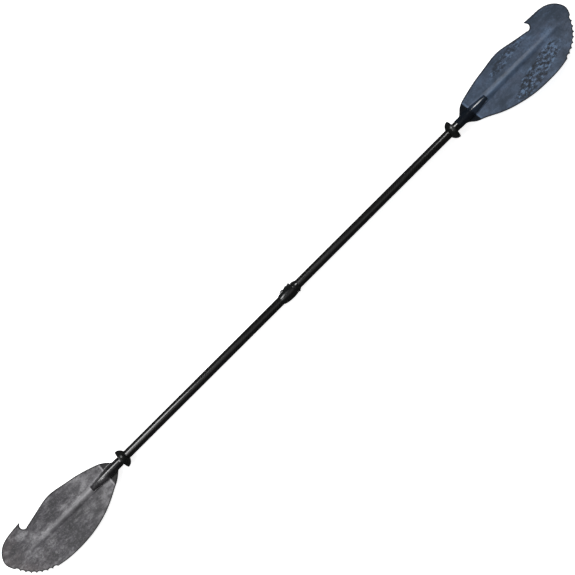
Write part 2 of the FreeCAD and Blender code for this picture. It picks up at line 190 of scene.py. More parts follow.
def tidy_shell(piece):
    """Merge doubled points and turn every face outwards."""
    edit(piece)
    bpy.ops.mesh.remove_doubles(threshold=DOUBLED)
    bpy.ops.mesh.normals_make_consistent(inside=False)
    close_edit()


def drop_slivers(piece):
    """Dissolve faces too thin to have an area."""
    edit(piece)
    bpy.ops.mesh.dissolve_degenerate(threshold=SLIVER)
    close_edit()


def block(name, low, high):
    """A block between two corners."""
    clear_selection()
    middle = [(a + b) / 2 for a, b in zip(low, high)]
    bpy.ops.mesh.primitive_cube_add(size=1, location=middle)
    piece = name_piece(bpy.context.active_object, name)
    piece.scale = [b - a for a, b in zip(low, high)]
    settle(piece)
    return piece


def rod(name, radius, start, end, axis, steps=64):
    """A round bar between two places along one axis."""
    clear_selection()
    middle = [(a + b) / 2 for a, b in zip(start, end)]
    turns = {"X": (0, math.pi / 2, 0), "Z": (0, 0, 0)}
    length = (Vector(end) - Vector(start)).length
    bpy.ops.mesh.primitive_cylinder_add(vertices=steps, radius=radius, depth=length,
                                        location=middle, rotation=turns[axis])
    piece = name_piece(bpy.context.active_object, name)
    settle(piece)
    return piece


def wire(name, points):
    """A closed line of edges, drawn by extruding one point again and again."""
    clear_selection()
    bpy.ops.mesh.primitive_plane_add(size=MM, location=points[0])
    piece = name_piece(bpy.context.active_object, name)
    bpy.ops.object.mode_set(mode="EDIT")
    bpy.ops.mesh.merge(type="CENTER")
    run = [*points, points[0]]
    for start, end in zip(run, run[1:]):
        step = [b - a for a, b in zip(start, end)]
        bpy.ops.mesh.extrude_region_move(TRANSFORM_OT_translate={"value": step})
    bpy.ops.mesh.select_all(action="SELECT")
    bpy.ops.mesh.remove_doubles(threshold=DOUBLED)
    close_edit()
    settle(piece)
    return piece


def turned(name, profile, corner=0.0):
    """A piece turned about the shaft axis from a closed profile of (x, radius) in metres."""
    piece = wire(name, [(x, r, 0) for x, r in profile])
    edit(piece)
    if corner:
        bpy.ops.mesh.bevel(offset=corner, segments=3, affect="VERTICES", clamp_overlap=True)
        bpy.ops.mesh.select_all(action="SELECT")
    bpy.ops.mesh.spin(steps=ROUND_STEPS, angle=FULL_TURN, center=(0, 0, 0), axis=SHAFT_AXIS)
    close_edit()
    tidy_shell(piece)
    return piece


def combine(piece, other, how):
    """Join, cut or trim a piece with another, which is used up."""
    pick(piece)
    change = piece.modifiers.new(how.lower(), "BOOLEAN")
    change.operation = how
    change.solver = "EXACT"
    change.object = other
    bpy.ops.object.modifier_apply(modifier=change.name)
    bpy.data.objects.remove(other)


def soften_edges(piece, width, degrees=38.0, steps=2):
    """A small radius on every edge sharper than an angle."""
    pick(piece)
    edge = piece.modifiers.new("edge", "BEVEL")
    edge.width = width
    edge.segments = steps
    edge.limit_method = "ANGLE"
    edge.angle_limit = math.radians(degrees)
    edge.use_clamp_overlap = True
    bpy.ops.object.modifier_apply(modifier=edge.name)


# ---- blades ----

def spline(points, gap):
    """Places along a smooth natural curve through points, about one gap apart."""
    knots = np.array(points, float)
    chords = np.linalg.norm(np.diff(knots, axis=0), axis=1)
    reach = np.concatenate([[0], np.cumsum(chords)])
    count = len(knots)
    matrix = np.eye(count)
    right_side = np.zeros((count, 2))
    for i in range(1, count - 1):
        before, after = chords[i - 1], chords[i]
        matrix[i, i - 1:i + 2] = before, 2 * (before + after), after
        slope_after = (knots[i + 1] - knots[i]) / after
        slope_before = (knots[i] - knots[i - 1]) / before
        right_side[i] = 6 * (slope_after - slope_before)
    bend = np.linalg.solve(matrix, right_side)
    places = []
    for at in np.linspace(0, reach[-1], max(2, round(reach[-1] / gap) + 1)):
        i = min(np.searchsorted(reach, at, side="right") - 1, count - 2)
        span, along = chords[i], at - reach[i]
        left = span - along
        place = (bend[i] * left ** 3 + bend[i + 1] * along ** 3) / (6 * span)
        place = place + (knots[i] / span - bend[i] * span / 6) * left
        place = place + (knots[i + 1] / span - bend[i + 1] * span / 6) * along
        places.append(tuple(place))
    return places


def arc_through(start, middle, end, steps):
    """Places along the circle through three points."""
    a, b, c = (complex(*p) for p in (start, middle, end))
    w = (c - a) / (b - a)
    centre = a + (b - a) * (w - abs(w) ** 2) / (2j * w.imag)
    radius = abs(a - centre)
    first = math.atan2((a - centre).imag, (a - centre).real)
    mid = math.atan2((b - centre).imag, (b - centre).real)
    last = math.atan2((c - centre).imag, (c - centre).real)
    turn = (last - first) % FULL_TURN
    if (mid - first) % FULL_TURN > turn:
        turn -= FULL_TURN
    spots = [first + turn * i / steps for i in range(steps + 1)]
    return [(centre.real + radius * math.cos(t), centre.imag + radius * math.sin(t))
            for t in spots]


def arc_run(centre, radius, first, last, steps):
    """Places along a round corner, from one angle to another in degrees."""
    spots = [math.radians(first + (last - first) * i / steps) for i in range(steps + 1)]
    return [(centre[0] + radius * math.cos(t), centre[1] + radius * math.sin(t)) for t in spots]


def toothed_edge(first, last):
    """Scallops between sharp tooth tips that stand on a shallow arc."""
    start, end = Vector(first), Vector(last)
    outward = Vector((end - start).yx).normalized()
    outward = Vector((outward.x, -outward.y))
    middle = (start + end) / 2 - outward * TOOTH_ROW_BULGE / MM
    tips = arc_through(first, tuple(middle), last, TOOTH_COUNT)
    run = []
    for a, b in zip(tips, tips[1:]):
        chord = Vector(b) - Vector(a)
        inward = Vector((chord.y, -chord.x)).normalized()
        root = (Vector(a) + Vector(b)) / 2 + inward * TOOTH_DEPTH / MM
        run += arc_through(a, tuple(root), b, 8)[:-1]
    return run + [tips[-1]]


def blade_outline(plan, gap=4.0):
    """The blade's outline as (s, y) in millimetres, from the root round to the root."""
    notch_s, notch_y = plan["notch"]
    radius = NOTCH_R / MM
    notch_start = (notch_s - radius * 0.5, notch_y - radius * 0.866)
    notch_low = (notch_s + radius * 0.5, notch_y - radius * 0.866)
    notch_end = (notch_s + radius * 0.94, notch_y + radius * 0.34)
    shaft_edge = SHAFT_R / MM
    root = plan["root_s"]
    hook_side = spline([(root, shaft_edge)] + plan["hook_side"] + [notch_start], gap)
    notch = arc_through(notch_start, notch_low, notch_end, 12)
    tip = spline([plan["barb"]] + plan["tip"] + [plan["first_tooth"]], gap)
    teeth = toothed_edge(plan["first_tooth"], plan["last_tooth"])
    long_side = spline([plan["last_tooth"]] + plan["long_side"] + [(root, -shaft_edge)], gap)
    barb = Vector(plan["barb"])
    down = (Vector(notch_end) - barb).normalized()
    along = (Vector(tip[1]) - barb).normalized()
    round_off = BARB_ROUND / MM
    nose = [tuple(barb + down * round_off), tuple(barb + (down + along) * round_off * 0.3),
            tuple(barb + along * round_off)]
    return hook_side + notch[1:] + nose + tip[1:] + teeth[1:] + long_side[1:]


def smoothstep(share):
    share = min(1.0, max(0.0, share))
    return share * share * (3 - 2 * share)


def middle_height(plan, s, y):
    """Height of the blade's middle surface: a spoon along it, cupped across it."""
    root = plan["root_s"] * MM
    along = max(0.0, (s - root) / (TIP_S - root))
    return SPOON_RISE * along ** 2 + CUP_RISE * (y / CUP_HALF_WIDTH) ** 2 * math.sqrt(along)


def socket_radius(plan, s):
    """Outer radius of the round socket at a place along it."""
    taper, end = plan["taper_s"] * MM, plan["end_s"] * MM
    if s <= taper:
        return SOCKET_R
    return SOCKET_R + (SOCKET_END_R - SOCKET_R) * min(1.0, (s - taper) / (end - taper))


def spine_height(plan, s, y):
    """The soft ridge that runs on from the socket and dies away before the tip."""
    start = plan["end_s"] * MM - SPINE_LAP
    share = (s - start) / (SPINE_END_S - start)
    if share <= 0.0 or share >= 1.0:
        return 0.0
    half_width = SPINE_HALF_WIDTH + (SPINE_TIP_HALF_WIDTH - SPINE_HALF_WIDTH) * share
    height = SPINE_HEIGHT * (1 - share) ** SPINE_FADE
    across = abs(y)
    if across < SPINE_CROWN:
        across = (SPINE_CROWN + across ** 2 / SPINE_CROWN) / 2
    slope = (half_width - across) / half_width
    if slope <= SPINE_TOE:
        slope = max(0.0, slope + SPINE_TOE) ** 2 / (4 * SPINE_TOE)
    return height * slope


def socket_fillet(plan, s, y):
    """The soft rise of the blade where it meets the side of the socket."""
    end = plan["end_s"] * MM
    if s > end + FILLET_R:
        return 0.0
    beside = abs(y) - socket_radius(plan, min(s, end))
    beyond = s - end
    away = max(beside, beyond)
    if away >= FILLET_R:
        return 0.0
    near = FILLET_R - max(0.0, away)
    return FILLET_R - math.sqrt(max(0.0, FILLET_R ** 2 - near ** 2))


def web_share(plan, s, y):
    """One on the thin web beside the socket, falling to nought on the blade proper."""
    edge = plan["web_s"] * MM - plan["web_lean"] * y
    return 1 - smoothstep((s - edge + WEB_RAMP) / WEB_RAMP)


def painted_fold_highlight_share(plan, s, y):
    """One on the strip just outside the web's crease, where a painted highlight stands for the lit
    flank of the step.
    """
    beyond = s - (plan["web_s"] * MM - plan["web_lean"] * y)
    return smoothstep((beyond + WEB_RAMP) / WEB_RAMP) * (1 - smoothstep(beyond / FOLD_HIGHLIGHT_STRIP))


def face_height(plan, s, y, side):
    """Height of the power face (side 1) or of the back (side -1)."""
    half = BLADE_THICKNESS / 2 - WEB_SINK * WEB_THIN_SHARE * web_share(plan, s, y)
    if side > 0:
        half -= WEB_SINK * WEB_FACE_SHARE * web_share(plan, s, y)
    half = max(half, THINNEST_HALF)
    ridge = spine_height(plan, s, y) * (1.0 if side > 0 else BACK_SPINE_SHARE)
    rise = max(ridge, socket_fillet(plan, s, y))
    return middle_height(plan, s, y) + side * (half + rise)


def blade_plate(plan, name):
    """The blade's flat: an outline filled, its rim inset, its inside cut into a net."""
    outline = [(s * MM, y * MM, 0) for s, y in blade_outline(plan)]
    plate = wire(name, outline)
    edit(plate)
    bpy.ops.mesh.edge_face_add()
    for width in RIM_INSETS:
        bpy.ops.mesh.inset(thickness=width, depth=0)
    bpy.ops.mesh.hide(unselected=True)
    root, end = plan["root_s"], plan["end_s"]
    fine_end = end + FINE_PAST_END
    spots = [root + FINE_STEP * i for i in range(1, 200) if root + FINE_STEP * i < fine_end]
    spots += [fine_end + COARSE_STEP * i for i in range(100)
              if fine_end + COARSE_STEP * i < NET_END_S]
    spots += [end - 0.4, end + 0.4, end + 1.5]
    cuts = [((s * MM, 0, 0), (1, 0, 0)) for s in spots]
    for y in INNER_LANES + OUTER_LANES:
        for way in ((1, -1) if y else (1,)):
            cuts.append(((0, way * y * MM, 0), (0, 1, 0)))
    for share in (0.0, 0.25, 0.5, 0.75, 1.0):
        place = (plan["web_s"] * MM - WEB_RAMP * share, 0, 0)
        cuts.append((place, (1, plan["web_lean"], 0)))
    for place, across in cuts:
        bpy.ops.mesh.select_all(action="SELECT")
        bpy.ops.mesh.bisect(plane_co=place, plane_no=across)
    bpy.ops.mesh.reveal()
    bpy.ops.mesh.select_all(action="SELECT")
    bpy.ops.mesh.extrude_region_move(TRANSFORM_OT_translate={"value": (0, 0, -FLAT_THICKNESS)})
    close_edit()
    tidy_shell(plate)
    return plate


def press_to_form(plan, plate):
    """Move the flat net's points to the heights of the power face and of the back."""
    mesh = plate.data
    top = {v.index for v in mesh.vertices if v.co.z > -FLAT_THICKNESS / 2}
    wall = set()
    for edge in mesh.edges:
        a, b = edge.vertices
        if (a in top) != (b in top):
            wall.update((a, b))
    beside_wall = set()
    for edge in mesh.edges:
        a, b = edge.vertices
        if (a in wall) != (b in wall):
            beside_wall.add(b if a in wall else a)
    for vertex in mesh.vertices:
        s, y = vertex.co.x, vertex.co.y
        side = 1 if vertex.index in top else -1
        height = face_height(plan, s, y, side)
        ground = middle_height(plan, s, y)
        if vertex.index in wall:
            height = ground + (height - ground) * RIM_HEIGHT_SHARE
        elif vertex.index in beside_wall:
            height = ground + (height - ground) * SHOULDER_HEIGHT_SHARE
        vertex.co.z = height


def socket_solid(plan, name):
    """The round socket before its bore: it tapers into the blade and ends square."""
    s = {key: plan[key] * MM for key in ("mouth_s", "root_s", "taper_s", "end_s")}
    edge = 0.8 * MM
    profile = [
        (s["mouth_s"], 0), (s["mouth_s"], SOCKET_MOUTH_R - 0.3 * MM),
        (s["mouth_s"] + 0.4 * MM, SOCKET_MOUTH_R), (s["root_s"] + 10 * MM, SOCKET_R),
        (s["taper_s"] - 6 * MM, SOCKET_R), (s["taper_s"] + 6 * MM, SOCKET_R - 0.35 * MM),
        (s["end_s"] - edge, SOCKET_END_R), (s["end_s"] - edge * 0.3, SOCKET_END_R - edge * 0.3),
        (s["end_s"], SOCKET_END_R - edge), (s["end_s"], 0),
    ]
    return turned(name, profile)


def socket_bore(plan, name):
    """What the drill takes out of the socket for the shaft tube."""
    start = (plan["mouth_s"] - 4) * MM
    end = plan["taper_s"] * MM + TUBE_LAP
    radius = SHAFT_R + 0.05 * MM
    return turned(name, [(start, 0), (start, radius), (end, radius), (end, 0)])


def mark_blade(plan, piece):
    """Levels that the finish reads: gloss with painted shade, rim gap for painted edge shade, and
    the crease and the spine for painted highlights.
    """
    rim = np.array(blade_outline(plan, gap=1.5)) * MM
    end = plan["end_s"] * MM
    end_face = end + 0.2 * MM
    levels = {"polish_and_painted_shade": [], "rim_gap": [], "painted_fold_highlight": [], "ridge": []}
    for vertex in piece.data.vertices:
        s, y, z = vertex.co
        on_socket = s < end_face and math.hypot(y, z) < socket_radius(plan, s) + MOULD_LAP
        gap = np.hypot(rim[:, 0] - s, rim[:, 1] - y).min()
        web = web_share(plan, s, y)
        # On the socket and the web the polish level also paints the colour near black as shade.
        levels["polish_and_painted_shade"].append(max(plan["socket_polish_and_shade"], web) if on_socket else web)
        levels["rim_gap"].append(1.0 if on_socket else min(1.0, gap / RIM_GAP_LIMIT))
        levels["painted_fold_highlight"].append(0.0 if on_socket else painted_fold_highlight_share(plan, s, y))
        levels["ridge"].append(0.0 if on_socket else spine_height(plan, s, y) / SPINE_HEIGHT)
    for name, values in levels.items():
        piece.data.attributes.new(name, "FLOAT", "POINT").data.foreach_set("value", values)


def moulded_blade(which):
    """One blade with its socket and spine, made as on the right and turned to its side."""
    plan = BLADES[which]
    piece = blade_plate(plan, which + "_blade_moulding")
    press_to_form(plan, piece)
    combine(piece, socket_solid(plan, "socket"), "UNION")
    combine(piece, socket_bore(plan, "bore"), "DIFFERENCE")
    tidy_shell(piece)
    mark_blade(plan, piece)
    if plan["side"] < 0:
        piece.scale.x = -1
        settle(piece)
    tidy_shell(piece)
    smooth(piece, 30)
    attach(piece, plan["body"])
    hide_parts(which + "_blade")
    return piece


# ---- shaft and drip rings ----

def shaft_tube(name, start, end, body, node):
    """One carbon tube with lightly broken ends."""
    bore = SHAFT_R - SHAFT_WALL
    profile = [(start, bore), (start, SHAFT_R), (end, SHAFT_R), (end, bore)]
    piece = turned(name, profile, corner=0.25 * MM)
    smooth(piece, 40)
    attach(piece, body)
    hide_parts(node)
    return piece


def drip_ring(name, rim, way, body, node):
    """A soft rubber cup: a gripping hub with two sealing lips and a bell with a rolled rim."""
    start = rim - RING_DEPTH
    outer_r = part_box(node)[1].z
    profile = [(start + x * MM, r * MM) for x, r in BELL_OUTSIDE]
    profile += arc_run((rim - RIM_BEAD_R, outer_r - RIM_BEAD_R), RIM_BEAD_R, 100, -100, 12)
    profile += [(start + x * MM, r * MM) for x, r in BELL_INSIDE]
    hub_end = start + RING_HUB_LENGTH
    bore = SHAFT_R + RUNNING_GAP
    groove = bore + LIP_DEPTH
    profile += [(start + 5.0 * MM, 17.2 * MM), (hub_end - 0.7 * MM, 16.8 * MM),
                (hub_end - 0.1 * MM, 16.4 * MM), (hub_end, 15.6 * MM), (hub_end - 0.6 * MM, bore)]
    for lip in SEALING_LIPS:
        profile += [(start + (lip + 0.9) * MM, bore), (start + (lip + 0.5) * MM, groove),
                    (start + (lip - 0.5) * MM, groove), (start + (lip - 0.9) * MM, bore)]
    profile += [(start + 0.6 * MM, bore), (start, bore + 0.7 * MM), (start, 16.0 * MM)]
    piece = turned(name, profile)
    if way < 0:
        piece.scale.x = -1
        settle(piece)
        tidy_shell(piece)
    smooth(piece, 42)
    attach(piece, body)
    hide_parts(node)
    return piece


# ---- centre joint ----
# Sizes along the joint are measured from the joint's own middle.
JOINT_X = -6.0 * MM
PIVOT_X, PIVOT_Y = JOINT_X + 13.5 * MM, 21.3 * MM
CHEEK_R = 4.6 * MM
CHEEK_INNER_Z, CHEEK_OUTER_Z = 7.7 * MM, 11.4 * MM
CROWN_Y = PIVOT_Y - 1.4 * MM
POCKET_FLOOR_Y = 17.4 * MM
POCKET_HALF_WIDTH = 10.3 * MM
LEVER_HALF_WIDTH = 9.9 * MM
HUB_R, HUB_HALF_WIDTH = 3.2 * MM, 7.4 * MM
CAM_R, CAM_OFFSET, CAM_HALF_WIDTH = 3.6 * MM, 1.0 * MM, 5.5 * MM
CAM_LEAD_DEG = 30.0
PIN_R = 1.5 * MM
PIN_HOLE_HALF = 14 * MM
ABOVE_JOINT = 30 * MM


def in_joint(points):
    """Profile points in millimetres along the joint, as metres along the paddle."""
    return [(JOINT_X + x * MM, r * MM) for x, r in points]


def cross_rod(name, radius, x, y, half, steps=64):
    """A bar across the joint, along Z, with its middle on the XY plane."""
    return rod(name, radius, (x, y, -half), (x, y, half), "Z", steps)


def clamp_collar():
    """The moulded barrel bonded over the left tube, with its lever pocket and cheeks."""
    belly = arc_through((-21, 19.3), (0, 21.0), (19.4, 19.35), 20)
    cone = arc_through((-34.6, 15.4), (-28.0, 17.6), (-21.6, 19.2), 6)
    profile = in_joint([(-35, 14.25), (-35, 15.0)] + cone + belly +
                       [(20, 18.9), (20, 15.6), (21.7, 15.6), (21.7, 15.0), (24.3, 15.0),
                        (24.3, 15.6), (27, 15.6), (27, 13.25), (-8, 13.25), (-8, 14.25)])
    piece = turned("clamp_collar_moulding", profile)
    pocket = block("pocket", (JOINT_X - 30 * MM, POCKET_FLOOR_Y, -POCKET_HALF_WIDTH),
                   (JOINT_X + 22 * MM, ABOVE_JOINT, POCKET_HALF_WIDTH))
    combine(piece, pocket, "DIFFERENCE")
    for side in (-1, 1):
        near, far = sorted((side * CHEEK_INNER_Z, side * CHEEK_OUTER_Z))
        post = block("cheek", (PIVOT_X - CHEEK_R, 15 * MM, near), (PIVOT_X + CHEEK_R, CROWN_Y, far))
        crown = rod("crown", CHEEK_R, (PIVOT_X, CROWN_Y, near), (PIVOT_X, CROWN_Y, far), "Z")
        combine(post, crown, "UNION")
        combine(piece, post, "UNION")
    window = block("window", (PIVOT_X - 5 * MM, 9 * MM, -6 * MM),
                   (PIVOT_X + 5 * MM, ABOVE_JOINT, 6 * MM))
    combine(piece, window, "DIFFERENCE")
    pin_hole = cross_rod("pin hole", PIN_R, PIVOT_X, PIVOT_Y, PIN_HOLE_HALF, 32)
    combine(piece, pin_hole, "DIFFERENCE")
    tidy_shell(piece)
    soften_edges(piece, 0.3 * MM)
    smooth(piece, 36)
    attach(piece, "left_half")
    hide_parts("clamp_collar")
    return piece


def cam_lever():
    """The lever: two finger scallops on top and a cam round the pivot."""
    crest = spline([(-25.5, 18.6), (-20.5, 21.0), (-14.0, 23.5), (-7.2, 21.0), (1.2, 23.9),
                    (9.0, 22.4), (12.5, 24.3)], 0.8)
    profile = in_joint(crest + [(13.5, 17.9), (-24.5, 17.9)])
    outline = [(x, y, -LEVER_HALF_WIDTH) for x, y in profile]
    piece = wire("cam_lever_moulding", outline)
    edit(piece)
    bpy.ops.mesh.edge_face_add()
    across = (0, 0, 2 * LEVER_HALF_WIDTH)
    bpy.ops.mesh.extrude_region_move(TRANSFORM_OT_translate={"value": across})
    close_edit()
    tidy_shell(piece)
    crown = rod("crown", 24.2 * MM, (-45 * MM, 0, 0), (25 * MM, 0, 0), "X", 160)
    combine(piece, crown, "INTERSECT")
    waist = PIVOT_X - 5.6 * MM
    for side in (-1, 1):
        near, far = sorted((side * HUB_HALF_WIDTH, side * 20 * MM))
        side_cut = block("side cut", (waist, 10 * MM, near), (PIVOT_X + 10 * MM, ABOVE_JOINT, far))
        combine(piece, side_cut, "DIFFERENCE")
    lean = math.radians(-90 - CAM_LEAD_DEG)
    cam_x = PIVOT_X + CAM_OFFSET * math.cos(lean)
    cam_y = PIVOT_Y + CAM_OFFSET * math.sin(lean)
    combine(piece, cross_rod("hub", HUB_R, PIVOT_X, PIVOT_Y, HUB_HALF_WIDTH), "UNION")
    combine(piece, cross_rod("cam", CAM_R, cam_x, cam_y, CAM_HALF_WIDTH), "UNION")
    pin_hole = cross_rod("pin hole", PIN_R + RUNNING_GAP, PIVOT_X, PIVOT_Y, PIN_HOLE_HALF, 32)
    combine(piece, pin_hole, "DIFFERENCE")
    tidy_shell(piece)
    soften_edges(piece, 0.35 * MM, degrees=50)
    smooth(piece, 36)
    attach(piece, "lever")
    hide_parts("cam_lever")
    return piece


def pivot_pin():
    """The lever's pin, with domed ends."""
    piece = cross_rod("lever_pivot_pin_turned", PIN_R, PIVOT_X, PIVOT_Y, CHEEK_OUTER_Z, 40)
    soften_edges(piece, 0.45 * MM, steps=4)
    smooth(piece, 50)
    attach(piece, "left_half")
    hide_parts("lever_pivot_pin")
    return piece


def nose_ring():
    """The turning nose ring: a tapered shell with a pointer bead, hooked over the collar's lip."""
    nose = arc_through((20.9, 19.0), (29.0, 17.6), (35.5, 15.3), 12)
    profile = in_joint([(20.3, 15.9), (20.3, 18.5)] + nose +
                       [(36, 14.8), (36, 13.25), (31.1, 13.25), (31.1, 15.45), (28.9, 15.45),
                        (28.9, 13.25), (27.3, 13.25), (27.3, 15.9), (24.0, 15.9), (24.0, 15.3),
                        (22.0, 15.3), (22.0, 15.9)])
    piece = turned("feather_index_ring_moulding", profile)
    clear_selection()
    bpy.ops.mesh.primitive_uv_sphere_add(segments=32, ring_count=20, radius=3.2 * MM,
                                         location=(JOINT_X + 27 * MM, -17.2 * MM, 0))
    bead = name_piece(bpy.context.active_object, "bead")
    settle(bead)
    inner = rod("inner", 16.3 * MM, (JOINT_X + 18 * MM, 0, 0), (JOINT_X + 40 * MM, 0, 0), "X", 96)
    combine(bead, inner, "DIFFERENCE")
    combine(piece, bead, "UNION")
    tidy_shell(piece)
    soften_edges(piece, 0.25 * MM, degrees=45)
    drop_slivers(piece)
    smooth(piece, 36)
    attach(piece, "nose_ring")
    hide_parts("feather_index_ring")
    return piece


# ---- finishes ----

def grey(level):
    return (level, level, level)


def scaled(tone, share):
    return tuple(channel * share for channel in tone)


class Finish:
    """A material being mixed: nodes are added one by one and read by the shader."""

    def __init__(self, name):
        self.material = bpy.data.materials.new(name)
        self.material.use_nodes = True
        self.tree = self.material.node_tree
        self.shader = self.tree.nodes["Principled BSDF"]

    def add(self, kind, feeds=None, **settings):
        """A node with its settings, its sockets filled with values or other nodes' outputs."""
        node = self.tree.nodes.new("ShaderNode" + kind)
        for key, value in settings.items():
            setattr(node, key, value)
        self.feed(node, feeds or {})
        return node

    def feed(self, node, feeds):
        for key, value in feeds.items():
            socket = node.inputs[key]
            if isinstance(value, bpy.types.NodeSocket):
                self.tree.links.new(value, socket)
            else:
                socket.default_value = value

    def place(self, stretch=(1, 1, 1)):
        """Object coordinates, stretched along the axes."""
        spot = self.add("TexCoord").outputs["Object"]
        return self.add("Mapping", {"Vector": spot, "Scale": stretch}).outputs["Vector"]

    def noise(self, scale, detail=3.0, stretch=(1, 1, 1), roughness=0.55):
        feeds = {"Vector": self.place(stretch), "Scale": scale, "Detail": detail,
                 "Roughness": roughness}
        return self.add("TexNoise", feeds).outputs["Fac"]

    def level(self, name):
        """A level marked on the piece's points."""
        return self.add("Attribute", attribute_name=name).outputs["Fac"]

    def math(self, how, a, b=0.0, c=0.0):
        return self.add("Math", {0: a, 1: b, 2: c}, operation=how).outputs[0]

    def ramp(self, source, stops):
        """A value turned into tones: stops are (place, colour)."""
        node = self.add("ValToRGB", {"Fac": source})
        band = node.color_ramp
        band.elements[0].position, band.elements[0].color = stops[0][0], (*stops[0][1], 1)
        band.elements[1].position, band.elements[1].color = stops[-1][0], (*stops[-1][1], 1)
        for place, tone in stops[1:-1]:
            band.elements.new(place).color = (*tone, 1)
        return node.outputs["Color"]

    def lows(self, source, full, none, strength):
        """A share that is at its strength where a value is low and fades as the value grows."""
        return self.ramp(source, [(full, grey(strength)), (none, grey(0))])

    def highs(self, source, none, full, strength):
        """A share that grows with a value, up to its strength."""
        return self.ramp(source, [(none, grey(0)), (full, grey(strength))])

    def blend(self, share, a, b):
        """From one colour to another; each is a tone or another node's output."""
        tones = [x if isinstance(x, bpy.types.NodeSocket) else (*x, 1) for x in (a, b)]
        feeds = {"Factor": share, 6: tones[0], 7: tones[1]}
        return self.add("Mix", feeds, data_type="RGBA").outputs[2]

    def spread(self, source, low, high):
        """A value between nought and one, spread between two levels."""
        feeds = {"Value": source, "To Min": low, "To Max": high}
        return self.add("MapRange", feeds).outputs["Result"]

    def bump(self, height, strength, distance, under=None):
        feeds = {"Height": height, "Strength": strength, "Distance": distance}
        if under is not None:
            feeds["Normal"] = under
        return self.add("Bump", feeds).outputs["Normal"]

    def patch(self, centre, half_sizes, turn):
        """One inside a ragged oval on the XY plane, nought outside it."""
        spot = self.add("TexCoord").outputs["Object"]
        size = (half_sizes[0], half_sizes[1], 1.0)
        feeds = {"Vector": spot, "Location": (*centre, 0), "Scale": size,
                 "Rotation": (0, 0, math.radians(turn))}
        place = self.add("Mapping", feeds, vector_type="TEXTURE").outputs["Vector"]
        flat = self.add("VectorMath", {0: place, 1: (1, 1, 0)}, operation="MULTIPLY")
        length = self.add("VectorMath", {0: flat.outputs["Vector"]}, operation="LENGTH")
        ragged = self.math("MULTIPLY_ADD", self.noise(32.0, 3.0), 0.7, -0.35)
        return self.lows(self.math("ADD", length.outputs["Value"], ragged), 0.8, 1.0, 1)

    def shade(self, **feeds):
        self.feed(self.shader, {key.replace("_", " "): value for key, value in feeds.items()})
        return self.material


def marbled(f, tones, side, patches, cloud):
    """The blade's colour from root to tip, with flow marks, specks, marbled panels and a painted
    highlight on the spine's crown.
    """
    tone, root = tones["middle"], tones["root"]
    split = f.add("SeparateXYZ", {"Vector": f.place()})
    along = f.math("MULTIPLY", split.outputs["X"], side)
    reach = f.add("MapRange", {"Value": along, "From Min": 0.80, "From Max": 1.19})
    wander = f.math("MULTIPLY_ADD", f.noise(11.0, 3.0), 0.5, -0.25)
    body = f.ramp(f.math("ADD", reach.outputs["Result"], wander),
                  [(0.04, root), (0.38, tone), (0.75, tone), (0.97, tones["tip"])])
    body = f.blend(f.spread(f.noise(17.0, 4.0), -0.4, 0.9), body, tones["tint"])
    body = f.blend(f.lows(cloud, 0.34, 0.5, 0.9), body, scaled(tone, 0.42))
    body = f.blend(f.highs(cloud, 0.52, 0.68, 0.75), body, scaled(root, 1.6))
    flow = f.noise(66.0, 4.0, stretch=(0.45, 1, 1), roughness=0.6)
    body = f.blend(f.lows(flow, 0.36, 0.5, 0.6), body, scaled(tone, 0.5))
    body = f.blend(f.highs(flow, 0.54, 0.68, 0.5), body, scaled(root, 1.35))
    speckle = f.noise(190.0, 4.0, roughness=0.75)
    body = f.blend(f.lows(speckle, 0.36, 0.5, 0.6), body, scaled(tone, 0.55))
    body = f.blend(f.highs(speckle, 0.55, 0.72, 0.5), body, scaled(root, 1.4))
    # Painted highlight: the spine's crown is lightened where it catches the light.
    ridge = f.math("MULTIPLY", f.level("ridge"), 0.75)
    body = f.blend(f.math("MULTIPLY", f.spread(cloud, 0.3, 1.2), ridge), body, scaled(root, 1.7))
    marks = f.noise(tones["mark_scale"], 3.0, stretch=(0.6, 1, 1), roughness=0.8)
    for centre, half_sizes, turn, strength in patches:
        panel = f.patch((centre[0] * side, centre[1]), half_sizes, turn * side)
        inside = f.math("MULTIPLY", panel, strength)
        dark = f.math("MULTIPLY", inside, f.lows(marks, 0.43, 0.52, 1))
        light = f.math("MULTIPLY", inside, f.highs(marks, 0.54, 0.61, 0.75))
        body = f.blend(dark, body, scaled(tone, 0.16))
        body = f.blend(light, body, scaled(tone, 2.8))
    return body


